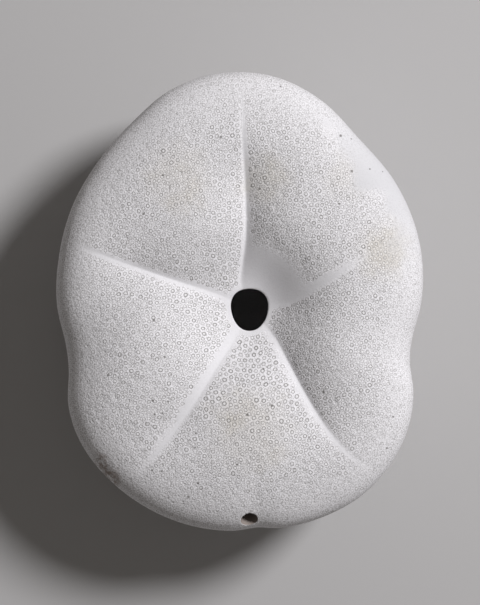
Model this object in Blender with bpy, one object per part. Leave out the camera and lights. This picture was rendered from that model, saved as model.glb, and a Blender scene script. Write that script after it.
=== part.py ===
"""Sea biscuit: the empty, bleached shell of a swollen sand dollar, lying on its domed back with its mouth side up.

Sizes are in millimetres and headings in degrees from +X; the scene is in metres, +Z up. The animal's front points
to +Y, and its vent is at the back. The shell is one hollow piece. Its outside is walked along each heading from the
mouth's edge (walk 0) over the mouth face to the rim (walk 1), then over the dome to the crown (walk 2).
"""

import math

import bmesh
import bpy
from mathutils import Matrix, Vector

MM = 0.001

# Heights over the table
CROWN_HEIGHT = 2.0
DOME_DEPTH = 35.5
FACE_RISE = 15.0

# Plan outline: heading, and distance from the middle of the star to the rim
OUTLINE = (
    (0, 49.3), (20, 52.1), (40, 54.7), (56, 56.9), (70, 61.7), (83, 65.0), (96, 65.8), (109, 64.3),
    (122, 60.6), (136, 58.0), (150, 56.2), (165, 54.3), (180, 53.0), (191, 51.7), (200, 52.9), (210, 57.4),
    (222, 60.7), (240, 62.9), (256, 63.7), (272, 63.3), (288, 63.3), (301, 62.6), (312, 60.5), (322, 57.6),
    (332, 53.5), (341, 48.9), (350, 47.8),
)

# Mouth, a rounded opening that narrows to the back
MOUTH_HALF_WIDTH = 5.05
MOUTH_HALF_LENGTH = 5.75
MOUTH_TAPER = 0.14
MOUTH_SQUARENESS = 2.2
MOUTH_SHIFT = (1.3, -1.3)
SHIFT_REACH = 14.0

# Mouth face: a funnel round the mouth, and an edge that rounds over to the rim
FUNNEL_DEPTH = 14.0
FUNNEL_REACH = 17.1
FUNNEL_SHAPE = 2.3
EDGE_ROUNDING = 30.0
EDGE_FULLNESS = 0.72
FACE_DOMING = 1.5
DOMING_REACH = 50.0

# Slight waves of the mouth face: height, lengths and starts of the first pair, lengths of the second, and the
# distances between which they rise
WAVINESS = 0.25
WAVE_LENGTHS = (9.0, 11.0)
WAVE_STARTS = (1.3, 0.4)
RIPPLE_LENGTHS = (5.0, 7.0)
WAVE_RISE = (8.0, 22.0)

# Food grooves: headings at three distances from the middle, a further turn beside the mouth, depth, and the distance
# where each has faded out
GROOVE_STATIONS = (12.0, 32.0, 60.0)
GROOVES = (
    ((9.0, 21.0, 22.0), 0.0, 1.2, 34.0),
    ((88.5, 90.0, 91.0), 28.0, 5.0, 51.0),
    ((159.5, 160.5, 159.5), -10.0, 3.5, 51.0),
    ((245.0, 242.0, 236.5), 0.0, 2.2, 59.0),
    ((310.0, 303.7, 308.5), 6.0, 4.2, 53.0),
)
HOOK_REACH = 11.0
GROOVE_RISE = (2.0, 26.0)
GROOVE_FADE = 22.0
LOBE_SHAPE = 2.2
CREASE_DEPTH = 0.3
CREASE_HALF_WIDTH = 1.3

# Vent, opening to the back through a shallow notch in the rim
VENT_HEADING = 271.0
VENT_DIAMETER = 4.8
VENT_INSET = 2.4
VENT_HEIGHT_SHARE = 0.56
VENT_RISE = 35.0
VENT_LENGTH = 30.0
NOTCH_HEADING = 273.0
NOTCH_DEPTH = 0.9
NOTCH_HALF_ANGLE = 4.0

# Dome and petals. Each petal runs over a span of shares of the way from the crown to the rim
DOME_FULLNESS = 0.76
PETAL_SPAN = (0.05, 0.84)
PETAL_HALF_WIDTH = 9.6
PETAL_OUTWARDNESS = 0.8
PETAL_BLUNTNESS = 0.6
PETAL_SWELL = 4.3
SWELL_INWARDNESS = 1.1
PORE_FURROW = 0.5
FURROW_PLACE = 0.92
FURROW_HALF_WIDTH = 0.15

# Wall between the outside and the hollow
WALL = 2.6
RIM_WALL = 5.2
RIM_WALL_REACH = 0.25

# Steps either side of a point that give the slope there
WALK_STEP = 0.01
TURN_STEP = 1.0

# Bleached calcite, matt
CALCITE_COLOUR = (0.8, 0.79, 0.76, 1.0)
CALCITE_ROUGHNESS = 0.8

# Mesh density
LOBE_STEPS = 16
FACE_RINGS = 9
EDGE_RINGS = 10
DOME_RINGS = 15
HOLLOW_RING_STEP = 2
EDGE_START = 0.4
CLOSENESS_AT_GROOVES = 0.45
VENT_SIDES = 16


def smooth_step(value, low, high):
    """0 below low, 1 above high, and a smooth rise between."""
    share = min(1.0, max(0.0, (value - low) / (high - low)))
    return share * share * (3 - 2 * share)


def bell(offset, half_width):
    """1 at no offset, falling smoothly to nothing on either side."""
    return math.exp(-((offset / half_width) ** 2))


def turn_between(heading, other):
    """Signed turn in degrees from other to heading, from -180 to 180."""
    return (heading - other + 180.0) % 360.0 - 180.0


def rim_distance(heading):
    """Distance from the middle to the rim: a smooth closed curve through OUTLINE, less the vent's notch."""
    count = len(OUTLINE)
    here = max(i for i in range(count) if OUTLINE[i][0] <= heading % 360.0)
    near = [OUTLINE[(here + k) % count] for k in (-1, 0, 1, 2)]
    turns = [turn_between(angle, near[1][0]) for angle, _ in near]
    before, start, end, beyond = (radius for _, radius in near)
    span = turns[2]
    start_slope = span * (end - before) / (turns[2] - turns[0])
    end_slope = span * (beyond - start) / turns[3]
    t = turn_between(heading, near[1][0]) / span
    curve = (2 * t**3 - 3 * t**2 + 1) * start + (3 * t**2 - 2 * t**3) * end
    curve += (t**3 - 2 * t**2 + t) * start_slope + (t**3 - t**2) * end_slope
    return curve - NOTCH_DEPTH * bell(turn_between(heading, NOTCH_HEADING), NOTCH_HALF_ANGLE)


def mouth_distance(heading):
    """Distance from the middle of the mouth to its edge."""
    turn = math.radians(heading)
    half_width = MOUTH_HALF_WIDTH * (1 + MOUTH_TAPER * math.sin(turn))
    across = abs(math.cos(turn) / half_width) ** MOUTH_SQUARENESS
    along = abs(math.sin(turn) / MOUTH_HALF_LENGTH) ** MOUTH_SQUARENESS
    return (across + along) ** (-1 / MOUTH_SQUARENESS)


def groove_heading(groove, distance):
    """Heading of a food groove at a distance from the middle, on a curve through its three headings."""
    a, b, c = GROOVE_STATIONS
    at_a, at_b, at_c = groove[0]
    r = max(a, distance)
    return (
        groove[1] * bell(distance, HOOK_REACH)
        + at_a * (r - b) * (r - c) / ((a - b) * (a - c))
        + at_b * (r - a) * (r - c) / ((b - a) * (b - c))
        + at_c * (r - a) * (r - b) / ((c - a) * (c - b))
    )


def groove_dip(heading, distance):
    """Depth of the food grooves at a point: each is a creased valley between two swelling lobes."""
    dip = 0.0
    half_lobe = distance * math.pi / len(GROOVES)
    for groove in GROOVES:
        _, _, depth, reach = groove
        turn = abs(turn_between(heading, groove_heading(groove, distance)))
        sideways = distance * math.radians(turn)
        strength = smooth_step(distance, *GROOVE_RISE)
        strength *= 1 - smooth_step(distance, reach - GROOVE_FADE, reach)
        valley = depth * max(0.0, 1 - sideways / half_lobe) ** LOBE_SHAPE
        dip += strength * (valley + CREASE_DEPTH * math.exp(-sideways / CREASE_HALF_WIDTH))
    return dip


def face_height(heading, distance):
    """Height of the mouth face against its highest plane, before its edge rounds over."""
    east = distance * math.cos(math.radians(heading))
    north = distance * math.sin(math.radians(heading))
    waves = math.sin(east / WAVE_LENGTHS[0] + WAVE_STARTS[0])
    waves *= math.sin(north / WAVE_LENGTHS[1] + WAVE_STARTS[1])
    waves += math.sin(east / RIPPLE_LENGTHS[0] - north / RIPPLE_LENGTHS[1]) / 2
    waves *= WAVINESS * smooth_step(distance, *WAVE_RISE)
    funnel = FUNNEL_DEPTH * math.exp(-((distance / FUNNEL_REACH) ** FUNNEL_SHAPE))
    doming = FACE_DOMING * (distance / DOMING_REACH) ** 2
    return waves - doming - funnel - groove_dip(heading, distance)


def rounded(share, fullness):
    """A full quarter oval from (0, 1) at share 0 to (1, 0) at share 1, with its points spread evenly."""
    turn = math.radians(45.0) * (1 - math.cos(math.pi * min(1.0, max(0.0, share))))
    return max(0.0, math.sin(turn)) ** fullness, max(0.0, math.cos(turn)) ** fullness


def face_point(walk, heading):
    """A point of the mouth face, from the mouth's edge at walk 0 to the rim at walk 1."""
    edge_start = rim_distance(heading) - EDGE_ROUNDING
    mouth = mouth_distance(heading)
    out, up = rounded((walk - EDGE_START) / (1 - EDGE_START), EDGE_FULLNESS)
    distance = edge_start + EDGE_ROUNDING * out
    if walk < EDGE_START:
        distance = mouth + (edge_start - mouth) * walk / EDGE_START
    shift = bell(distance, SHIFT_REACH)
    return Vector((
        MOUTH_SHIFT[0] * shift + distance * math.cos(math.radians(heading)),
        MOUTH_SHIFT[1] * shift + distance * math.sin(math.radians(heading)),
        CROWN_HEIGHT + DOME_DEPTH + (FACE_RISE + face_height(heading, distance)) * up,
    ))


def petal_relief(heading, share):
    """How far a petal stands out of the dome, at a share of the way from the crown to the rim."""
    start, end = PETAL_SPAN
    along = (share - start) / (end - start)
    if not 0 < along < 1:
        return 0.0
    turn = min((turn_between(heading, groove[0][2]) for groove in GROOVES), key=abs)
    sideways = abs(share * rim_distance(heading) * math.sin(math.radians(turn)))
    half_width = PETAL_HALF_WIDTH * math.sin(math.pi * along**PETAL_OUTWARDNESS) ** PETAL_BLUNTNESS
    swell = PETAL_SWELL * math.sin(math.pi * along**SWELL_INWARDNESS)
    furrow = PORE_FURROW * math.sin(math.pi * along)
    furrow *= bell(sideways / half_width - FURROW_PLACE, FURROW_HALF_WIDTH)
    return swell * max(0.0, 1 - (sideways / half_width) ** 2) - furrow


def dome_point(walk, heading):
    """A point of the dome, from the rim at walk 1 to the crown at walk 2; the petals' crests are worn flat."""
    share, down = rounded(2 - walk, DOME_FULLNESS)
    distance = share * rim_distance(heading)
    height = CROWN_HEIGHT + DOME_DEPTH * (1 - down) - petal_relief(heading, share)
    return Vector((
        distance * math.cos(math.radians(heading)),
        distance * math.sin(math.radians(heading)),
        max(0.0, height),
    ))


def shell_point(walk, heading):
    """A point of the outside."""
    if walk < 1:
        return face_point(max(0.0, walk), heading)
    return dome_point(min(2.0, walk), heading)


def hollow_point(walk, heading):
    """A point of the hollow, one wall thickness under the outside."""
    along = shell_point(walk + WALK_STEP, heading) - shell_point(walk - WALK_STEP, heading)
    around = shell_point(walk, heading + TURN_STEP) - shell_point(walk, heading - TURN_STEP)
    wall = WALL + (RIM_WALL - WALL) * bell(walk - 1, RIM_WALL_REACH)
    return shell_point(walk, heading) - wall * along.cross(around).normalized()


def column_headings(walk):
    """Headings of one ring's points: they follow the grooves, and lie closer together there."""
    middle = face_point(min(walk, 1.0), 90.0)
    distance = math.hypot(middle.x, middle.y)
    starts = [groove_heading(groove, distance) for groove in GROOVES]
    headings = []
    for start, end in zip(starts, starts[1:] + [starts[0] + 360.0]):
        for step in range(LOBE_STEPS):
            share = step / LOBE_STEPS
            share -= CLOSENESS_AT_GROOVES * math.sin(2 * math.pi * share) / (2 * math.pi)
            headings.append(start + share * (end - start))
    return headings


def ring_walks():
    """Walks of the rings from the mouth to just before the crown."""
    face = [EDGE_START * i / FACE_RINGS for i in range(FACE_RINGS)]
    edge = [EDGE_START + (1 - EDGE_START) * i / EDGE_RINGS for i in range(EDGE_RINGS)]
    dome = [1 + i / DOME_RINGS for i in range(DOME_RINGS)]
    return face + edge + dome


def shell_mesh():
    """The whole shell as rings: up the hollow to the mouth, over the lip, and back over the outside."""
    walks = ring_walks()
    inner_walks = walks[::-HOLLOW_RING_STEP]
    if inner_walks[-1] > 0:
        inner_walks.append(0.0)
    rings = [[hollow_point(walk, heading) for heading in column_headings(walk)] for walk in inner_walks]
    for walk in walks:
        rings.append([shell_point(walk, heading) for heading in column_headings(walk)])
    crown = shell_point(2.0, 0.0)
    mesh = bmesh.new()
    inner_crown = mesh.verts.new((crown + Vector((0, 0, WALL))) * MM)
    outer_crown = mesh.verts.new(crown * MM)
    placed = [[mesh.verts.new(point * MM) for point in ring] for ring in rings]
    count = len(placed[0])
    for i in range(count):
        after = (i + 1) % count
        mesh.faces.new((inner_crown, placed[0][i], placed[0][after]))
        mesh.faces.new((placed[-1][i], outer_crown, placed[-1][after]))
        for ring, following in zip(placed, placed[1:]):
            mesh.faces.new((ring[i], following[i], following[after], ring[after]))
    return mesh


def add_object(name, mesh):
    """Puts a built mesh into the scene."""
    data = bpy.data.meshes.new(name)
    mesh.to_mesh(data)
    mesh.free()
    made = bpy.data.objects.new(name, data)
    bpy.context.scene.collection.objects.link(made)
    return made


def centre_over_origin(mesh):
    """Moves the mesh sideways, so that the middle of its plan box is over the origin."""
    xs = [vert.co.x for vert in mesh.verts]
    ys = [vert.co.y for vert in mesh.verts]
    move = Vector((-(min(xs) + max(xs)) / 2, -(min(ys) + max(ys)) / 2, 0))
    bmesh.ops.translate(mesh, verts=mesh.verts, vec=move)
    return move


def vent_cutter(move):
    """A round bar along the vent's axis, through the wall at the back."""
    back = rim_distance(VENT_HEADING) - VENT_INSET
    height = CROWN_HEIGHT + DOME_DEPTH + FACE_RISE * VENT_HEIGHT_SHARE
    turn = math.radians(VENT_HEADING)
    place = Matrix.Translation(Vector((back * math.cos(turn), back * math.sin(turn), height)) * MM + move)
    aim = Matrix.Rotation(turn, 4, "Z") @ Matrix.Rotation(math.radians(90.0 - VENT_RISE), 4, "Y")
    radius = VENT_DIAMETER / 2 * MM
    mesh = bmesh.new()
    bmesh.ops.create_cone(
        mesh, cap_ends=True, segments=VENT_SIDES, radius1=radius, radius2=radius,
        depth=VENT_LENGTH * MM, matrix=place @ aim,
    )
    cutter = add_object("vent_cutter", mesh)
    cutter.hide_render = True
    cutter.display_type = "WIRE"
    return cutter


def bleached_calcite():
    """The shell's matt white material."""
    material = bpy.data.materials.new("bleached_calcite")
    material.use_nodes = True
    surface = material.node_tree.nodes["Principled BSDF"]
    surface.inputs["Base Color"].default_value = CALCITE_COLOUR
    surface.inputs["Roughness"].default_value = CALCITE_ROUGHNESS
    surface.inputs["Metallic"].default_value = 0.0
    return material


def clear_scene():
    """Removes what a new scene starts with."""
    for thing in list(bpy.data.objects):
        bpy.data.objects.remove(thing, do_unlink=True)


def main():
    clear_scene()
    mesh = shell_mesh()
    move = centre_over_origin(mesh)
    shell = add_object("shell", mesh)
    shell.data.materials.append(bleached_calcite())
    vent = shell.modifiers.new("vent", "BOOLEAN")
    vent.operation = "DIFFERENCE"
    vent.solver = "EXACT"
    vent.object = vent_cutter(move)


main()
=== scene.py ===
"""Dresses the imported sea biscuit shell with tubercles, bare grooves, stains and grain, on a pale stage.

Sizes in the shape functions are in millimetres and headings in degrees from +X, as the shell was
designed; meshes are in metres. The shell is walked along each heading from the mouth's edge (walk 0)
over the mouth face to the rim (walk 1), then over the dome to the crown (walk 2).
"""

import math
import random
from collections import namedtuple
from functools import reduce
from types import SimpleNamespace

import bmesh
import bpy
from mathutils import Matrix, Vector
from mathutils.geometry import delaunay_2d_cdt


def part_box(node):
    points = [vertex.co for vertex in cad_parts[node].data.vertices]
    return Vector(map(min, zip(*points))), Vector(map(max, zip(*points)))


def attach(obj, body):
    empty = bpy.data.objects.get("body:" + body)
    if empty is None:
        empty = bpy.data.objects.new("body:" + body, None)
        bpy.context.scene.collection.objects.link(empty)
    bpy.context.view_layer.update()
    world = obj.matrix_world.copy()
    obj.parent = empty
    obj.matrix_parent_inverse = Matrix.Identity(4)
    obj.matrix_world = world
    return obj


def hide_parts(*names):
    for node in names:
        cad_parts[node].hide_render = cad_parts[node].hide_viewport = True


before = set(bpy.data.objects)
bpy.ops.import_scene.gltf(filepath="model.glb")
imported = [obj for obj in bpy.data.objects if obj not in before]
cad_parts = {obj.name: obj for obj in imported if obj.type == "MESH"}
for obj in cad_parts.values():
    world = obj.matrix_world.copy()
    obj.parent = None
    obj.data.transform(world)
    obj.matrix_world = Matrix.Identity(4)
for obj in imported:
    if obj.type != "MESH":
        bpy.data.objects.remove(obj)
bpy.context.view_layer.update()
SHELL_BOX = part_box("shell")

bl_info = {
    "name": "Sea biscuit shell",
    "version": (1, 0, 0),
    "blender": (4, 5, 0),
    "location": "3D View > Sidebar > Sea Biscuit",
    "description": "Builds a bleached sea biscuit shell and its stage",
    "category": "Object",
}

MM = 0.001
TINY = 1e-6
EIGHTH_TURN = math.radians(45.0)

# Plan outline: heading, and distance from the middle of the star to the rim
OUTLINE = (
    (0, 49.3), (20, 52.1), (40, 54.7), (56, 56.9), (70, 61.7), (83, 65.0), (96, 65.8), (109, 64.3),
    (122, 60.6), (136, 58.0), (150, 56.2), (165, 54.3), (180, 53.0), (191, 51.7), (200, 52.9), (210, 57.4),
    (222, 60.7), (240, 62.9), (256, 63.7), (272, 63.3), (288, 63.3), (301, 62.6), (312, 60.5), (322, 57.6),
    (332, 53.5), (341, 48.9), (350, 47.8),
)

# Heights over the table
CROWN_HEIGHT = 2.0
DOME_DEPTH = 35.5
FACE_RISE = 15.0

# Mouth
MOUTH_TAPER = 0.14
MOUTH_SQUARENESS = 2.2
MOUTH_SHIFT = (1.3, -1.3)
SHIFT_REACH = 14.0
LIP_ROUNDING = 0.45
FACE_LOOP_OUT = 1.1

# Mouth face
FUNNEL_REACH = 17.1
FUNNEL_SHAPE = 2.3
EDGE_ROUNDING = 30.0
EDGE_FULLNESS = 0.72
FACE_DOMING = 1.5
DOMING_REACH = 50.0
EDGE_START = 0.4
FACE_SHEET_SHARE = 0.85
SHEET_MARGIN = EDGE_ROUNDING * (1 - FACE_SHEET_SHARE)
WAVINESS = 0.25
WAVE_LENGTHS = (9.0, 11.0)
WAVE_STARTS = (1.3, 0.4)
RIPPLE_LENGTHS = (5.0, 7.0)
WAVE_RISE = (8.0, 22.0)

# Food grooves: their headings at the stations, which are distances from the middle, a further turn
# beside the mouth, the depth, the distances where the valley and its crease have faded out, and how far
# the bare floor reaches to the clockwise and to the counterclockwise side
GROOVE_STATIONS = (12.0, 32.0, 60.0)
Groove = namedtuple("Groove", "headings hook depth reach crease_reach clockwise counterclockwise")
GROOVES = (
    Groove((9.0, 21.0, 22.0), 0.0, 1.2, 34.0, 44.0, 0.6, 2.2),
    Groove((88.5, 90.0, 91.0), 28.0, 5.0, 51.0, 64.0, 1.1, 0.3),
    Groove((159.5, 160.5, 159.5), -10.0, 3.5, 51.0, 60.0, 0.9, 1.0),
    Groove((245.0, 242.0, 236.5), 0.0, 2.2, 59.0, 63.0, 2.1, 0.4),
    Groove((310.0, 303.7, 308.5), 6.0, 4.2, 53.0, 64.0, 1.4, 0.3),
)
HOOK_REACH = 11.0
GROOVE_RISE = (2.0, 26.0)
GROOVE_FADE = 22.0
LOBE_SHAPE = 2.2
CREASE_SHARE = 0.13
CREASE_FADE = 30.0
CREASE_HALF_WIDTH = 1.3
CREASE_MARGIN = 7.0
CREASE_ROWS = (-0.45, 0.0, 0.45)
CREASE_STEP = 0.8
CREASE_START = 1.0

# Bare groove floors
BARE_NARROWING = 40.0
BARE_NARROWED = 0.6
BARE_SOFTNESS = (0.4, 1.2)
BARE_FADE = (2.0, 18.0)

# Vent, opening to the back through a shallow notch in the rim
VENT_HEADING = 271.0
VENT_DIAMETER = 4.8
VENT_INSET = 2.4
VENT_HEIGHT_SHARE = 0.56
VENT_RISE = 35.0
VENT_LENGTH = 30.0
VENT_SIDES = 48
NOTCH_HEADING = 273.0
NOTCH_DEPTH = 0.9
NOTCH_HALF_ANGLE = 4.0

# Dome and petals
DOME_FULLNESS = 0.76
PETAL_SPAN = (0.05, 0.84)
PETAL_HALF_WIDTH = 9.6
PETAL_OUTWARDNESS = 0.8
PETAL_BLUNTNESS = 0.6
PETAL_SWELL = 4.3
SWELL_INWARDNESS = 1.1
PORE_FURROW = 0.5
FURROW_PLACE = 0.92
FURROW_HALF_WIDTH = 0.15

# Wall
RIM_WALL_REACH = 0.25
WALK_STEP = 0.01
TURN_STEP = 1.0

# Where the tubercles are wide or close: on the lobe beside the vent, and along the rim
BIG_TUBERCLE_LOBE = 273.0
LOBE_EDGE = (26.0, 34.0)
LOBE_FADE = (18.0, 42.0)
LOBE_WIDENING = 0.32
RIM_BAND = (3.0, 16.0)
RIM_NARROWING = 0.16

# Where they are low, worn or missing: beside the mouth, on the funnel's bare side, on the rim, in two
# scars (middle, half sizes) and round the vent
MOUTH_BAND = (0.8, 2.4)
FUNNEL_SIDE = (-1.2, 0.4)
FUNNEL_END = (15.0, 21.0)
RIM_FADING = 0.5
WORN_RIM_HEADING = 42.0
WORN_RIM_HALF_ANGLE = 20.0
WORN_RIM_BAND = (5.0, 10.0)
WORN_RIM_WAVES = ((2.5, 13.0), (1.5, 29.0))
RIM_WEAR = 0.92
INSET_PER_WALK = 30.0
SCARS = (((23.0, 51.0), (1.6, 3.4)), ((33.4, 39.3), (2.3, 4.0)))
SCAR_WEAR = 0.9
VENT_WALK = 0.95
VENT_BARE_WALK = 0.1
VENT_BARE_ANGLE = 4.5
LAST_SUNKEN_WALK = 1.02

# Mesh
LIP_TURNS = (0.0, 30.0, 60.0, 90.0)
MOUTH_POINTS = 64
HOLLOW_POINTS = 48
HOLLOW_RING_GAP = 5.0
DOME_SPACING = 1.9
RING_PROBE_HEADING = 40.0
PROBES = 400
RIM_PROBES = 720
DARTS = 220000
NEAREST_SHARE = 0.8
INNER_MARGIN = 0.5
OUTER_MARGIN = 0.8
GRID_CELL = 1.2
RELAX_ROUNDS = 3
RELAX_SHARE = 0.8
INSIDE_TRIANGLES = 1
LOOP_JITTER = 0.2
RING_JITTER = 0.22
RING_STEP = 5
FEWEST_ROUND = 7
FEWEST_FACES = 1000
SEED = 11

# Tubercle cells
RELIEF_FLOOR = 0.04
RING_MARK = 0.5
WIDEST_RING = 0.75
MERGE_DISTANCE = 0.00001

# Painted shade in the sunken rings and a painted highlight on the bosses, by the mark that runs from 0 at
# a cell's edge to 1 on its boss
RING_PLACE = 0.41
RING_SHADE_EDGE = (0.18, 0.04)
RING_SHADE = 0.95
BOSS_HIGHLIGHT_BAND = (0.58, 0.8)

# Noises: scale in parts per metre, detail and roughness
BLOT_NOISE = (220.0, 3.0, 0.6)
TINT_NOISE = (45.0, 3.0, 0.6)
STAIN_NOISE = (420.0, 3.0, 0.7)
GRAIN_NOISE = (2000.0, 3.0, 0.7)

# Ranges that a noise or a mask is mapped from and, where two more numbers follow, to
BLOT_EDGE = (1.0, 0.25)
TINT_SPAN = (0.42, 0.62, 0.35, 1.0)
STAIN_SPAN = (0.38, 0.6, 0.0, 0.75)
CALCITE_SPAN = (0.0, 0.5)
SPECKLE_SPAN = (0.55, 0.3)
SPECKLE_SHARE = (0.0, 0.6, 0.1, 0.75)
BUMP_STRENGTH = (0.0, 1.0, 0.1, 0.75)

# Surface
SPECKLE_COLOUR = (0.34, 0.33, 0.32)
SHELL_ROUGHNESS = 0.82
SHELL_SPECULAR = 0.3
GRANULES_PER_METRE = 2000.0
GRANULE_SMOOTHNESS = 0.3
BUMP_DISTANCE = 0.00012
FLOOR_ROUGHNESS = 0.9
FLOOR_SPECULAR = 0.1

# Patches on the mouth face, laid on as seen in plan: place, radius and raggedness; specks are round.
# They end where the side of the shell falls below the fade's heights
BLOT_SINK = 0.002
BLOT_HEIGHT = SHELL_BOX[1][2] - BLOT_SINK
PATCH_FADE = (0.031, 0.038)
SPECK_CORE = 0.25
SPECK_SHADE = 0.8
TINTED = (
    ((-16.7, 34.1), 13.0, 0.9), ((7.2, 33.6), 10.0, 0.9), ((29.6, 34.7), 9.0, 0.9),
    ((39.5, 14.5), 11.0, 0.9), ((3.0, -36.0), 16.0, 0.9),
)
STAINED = (((-38.8, -45.0), 3.2, 1.0), ((-36.9, -47.4), 4.0, 1.0), ((-35.2, -49.6), 3.0, 1.0))
SPECKS = (
    ((-23.7, -5.2), 0.6), ((-20.7, -15.3), 0.5), ((-24.0, -27.4), 0.55), ((-19.8, -27.7), 0.45),
    ((2.1, -31.3), 0.6), ((8.9, -28.8), 0.6), ((-0.7, -45.1), 0.55), ((6.6, -18.7), 0.45),
    ((-36.4, -20.4), 0.5), ((41.0, -40.8), 0.45), ((42.6, -32.0), 0.45), ((23.2, -25.1), 0.55),
    ((19.2, -37.6), 0.4), ((-11.5, -50.3), 0.5), ((-14.2, -54.2), 0.55), ((-24.3, -46.8), 0.45),
    ((-21.6, -47.0), 0.35), ((-12.1, -36.5), 0.45), ((-12.3, -40.4), 0.45), ((-23.5, -31.2), 0.45),
    ((-21.3, -31.0), 0.4), ((28.1, 46.1), 0.6), ((31.1, 45.3), 0.3), ((36.2, 36.8), 0.35),
    ((31.1, 36.1), 0.55), ((5.5, 31.2), 0.5), ((27.5, 27.0), 0.45), ((11.4, 59.9), 0.4),
    ((39.9, 36.2), 0.25), ((-21.2, 34.9), 0.5), ((-26.6, 24.2), 0.5), ((-5.2, 45.5), 0.5),
)

# Stage
FLOOR_HALF_SIZE = 1.5
WORLD_COLOUR = (1.0, 0.94, 0.89, 1.0)
WORLD_STRENGTH = 0.13
KEY_HEADING = 33.5
KEY_ELEVATION = 47.0
KEY_DISTANCE = 1.2
KEY_SIZE = 0.3
KEY_COLOUR = (0.985, 0.975, 1.0)
KEY_POWER = 13.6
LIGHT_TARGET = Vector((0.0, 0.0, 0.04))
CAMERA_LENS = 150.0
SENSOR_HEIGHT = 36.0
CAMERA_PLACE = (0.0001, -0.0003, 0.7475)
CAMERA_NEAREST = 0.01


def smooth_step(value, low, high):
    """0 below low, 1 above high, and a smooth rise between."""
    share = min(1.0, max(0.0, (value - low) / (high - low)))
    return share * share * (3 - 2 * share)


def bell(offset, half_width):
    """1 at no offset, falling smoothly to nothing on either side."""
    return math.exp(-((offset / half_width) ** 2))


def turn_between(heading, other):
    """Signed turn in degrees from other to heading, from -180 to 180."""
    return (heading - other + 180.0) % 360.0 - 180.0


def east_north(heading, distance):
    """How far east and north a place in plan is."""
    turn = math.radians(heading)
    return distance * math.cos(turn), distance * math.sin(turn)


# Shape of the shell


def rim_distance(heading):
    """Distance from the middle to the rim: a smooth curve through OUTLINE, less the vent's notch."""
    count = len(OUTLINE)
    here = max(i for i in range(count) if OUTLINE[i][0] <= heading % 360.0)
    near = [OUTLINE[(here + k) % count] for k in (-1, 0, 1, 2)]
    turns = [turn_between(angle, near[1][0]) for angle, _ in near]
    before, start, end, beyond = (radius for _, radius in near)
    span = turns[2]
    start_slope = span * (end - before) / (turns[2] - turns[0])
    end_slope = span * (beyond - start) / turns[3]
    t = turn_between(heading, near[1][0]) / span
    curve = (2 * t**3 - 3 * t**2 + 1) * start + (3 * t**2 - 2 * t**3) * end
    curve += (t**3 - 2 * t**2 + t) * start_slope + (t**3 - t**2) * end_slope
    return curve - NOTCH_DEPTH * bell(turn_between(heading, NOTCH_HEADING), NOTCH_HALF_ANGLE)


def mouth_distance(heading, sizes):
    """Distance from the middle of the mouth to its edge."""
    turn = math.radians(heading)
    half_width = sizes.mouth_width / 2 * (1 + MOUTH_TAPER * math.sin(turn))
    half_length = sizes.mouth_length / 2
    across = abs(math.cos(turn) / half_width) ** MOUTH_SQUARENESS
    along = abs(math.sin(turn) / half_length) ** MOUTH_SQUARENESS
    return (across + along) ** (-1 / MOUTH_SQUARENESS)


def groove_heading(groove, distance):
    """Heading of a food groove at a distance: a curve through its headings at the stations."""
    a, b, c = GROOVE_STATIONS
    at_a, at_b, at_c = groove.headings
    r = max(a, distance)
    return (
        groove.hook * bell(distance, HOOK_REACH)
        + at_a * (r - b) * (r - c) / ((a - b) * (a - c))
        + at_b * (r - a) * (r - c) / ((b - a) * (b - c))
        + at_c * (r - a) * (r - b) / ((c - a) * (c - b))
    )


def groove_offset(groove, heading, distance):
    """Sideways distance from a groove's line, positive to its counterclockwise side."""
    return distance * math.radians(turn_between(heading, groove_heading(groove, distance)))


def groove_dip(heading, distance):
    """Depth of the food grooves at a point: each is a creased valley between two swelling lobes."""
    dip = 0.0
    half_lobe = distance * math.pi / len(GROOVES)
    for groove in GROOVES:
        sideways = abs(groove_offset(groove, heading, distance))
        begun = smooth_step(distance, *GROOVE_RISE)
        strength = begun * (1 - smooth_step(distance, groove.reach - GROOVE_FADE, groove.reach))
        crease_fade = smooth_step(distance, groove.crease_reach - CREASE_FADE, groove.crease_reach)
        sharpness = begun * (1 - crease_fade)
        valley = groove.depth * max(0.0, 1 - sideways / half_lobe) ** LOBE_SHAPE
        crease = CREASE_SHARE * groove.depth * math.exp(-sideways / CREASE_HALF_WIDTH)
        dip += strength * valley + sharpness * crease
    return dip


def face_height(heading, distance, sizes):
    """Height of the mouth face against its highest plane, before its edge rounds over."""
    east, north = east_north(heading, distance)
    waves = math.sin(east / WAVE_LENGTHS[0] + WAVE_STARTS[0])
    waves *= math.sin(north / WAVE_LENGTHS[1] + WAVE_STARTS[1])
    waves += math.sin(east / RIPPLE_LENGTHS[0] - north / RIPPLE_LENGTHS[1]) / 2
    waves *= WAVINESS * smooth_step(distance, *WAVE_RISE)
    funnel = sizes.funnel_depth * math.exp(-((distance / FUNNEL_REACH) ** FUNNEL_SHAPE))
    doming = FACE_DOMING * (distance / DOMING_REACH) ** 2
    return waves - doming - funnel - groove_dip(heading, distance)


def rounded(share, fullness):
    """A full quarter oval from (0, 1) at share 0 to (1, 0) at share 1, with its points spread evenly."""
    turn = EIGHTH_TURN * (1 - math.cos(math.pi * min(1.0, max(0.0, share))))
    return max(0.0, math.sin(turn)) ** fullness, max(0.0, math.cos(turn)) ** fullness


def sheet_point(heading, distance, sizes):
    """A point of the mouth face at a distance from the middle."""
    out = min(1.0, max(0.0, 1 - (rim_distance(heading) - distance) / EDGE_ROUNDING))
    up = (1 - out ** (2 / EDGE_FULLNESS)) ** (EDGE_FULLNESS / 2)
    shift = bell(distance, SHIFT_REACH)
    east, north = east_north(heading, distance)
    return Vector((
        MOUTH_SHIFT[0] * shift + east,
        MOUTH_SHIFT[1] * shift + north,
        CROWN_HEIGHT + DOME_DEPTH + (FACE_RISE + face_height(heading, distance, sizes)) * up,
    ))


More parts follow.
